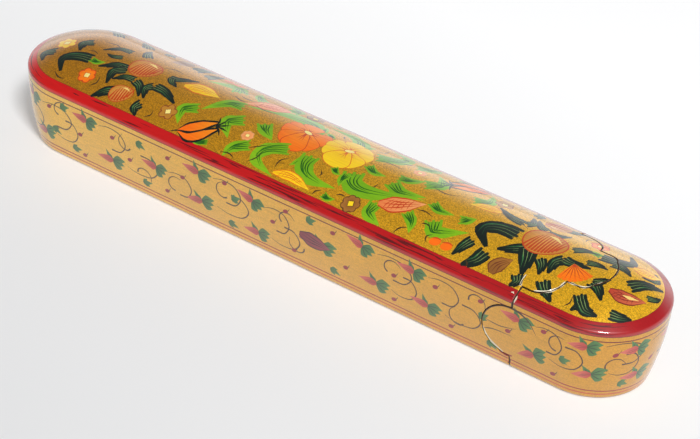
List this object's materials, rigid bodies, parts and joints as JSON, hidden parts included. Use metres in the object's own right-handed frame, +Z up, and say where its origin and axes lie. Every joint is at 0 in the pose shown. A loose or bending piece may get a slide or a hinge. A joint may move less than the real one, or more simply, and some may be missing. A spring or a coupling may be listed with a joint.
{
  "type": "pen box",
  "caption": "Long pen box with a domed top and rounded ends. A tray with its own end of the box slides out lengthways along a lobed seam.",
  "frame": {"origin": "middle of the footprint, on the surface that the box stands on", "axes": "+X along the box towards the drawer's head, +Z up to the domed top"},
  "size_m": [0.24, 0.044, 0.0338],
  "materials": {
    "painted_lacquer": "moulded paper painted with flowers on gold, under clear gloss lacquer",
    "tray_lacquer": "moulded paper under plain dark red lacquer"
  },
  "bodies": {
    "case": {"case": "painted_lacquer"},
    "drawer": {"drawer_head": "painted_lacquer", "drawer_tray": "tray_lacquer"}
  },
  "joints": [
    {"name": "drawer_slide", "type": "slide", "parent": "case", "child": "drawer", "axis": [1, 0, 0], "range_m": [0, 0.222]}
  ]
}
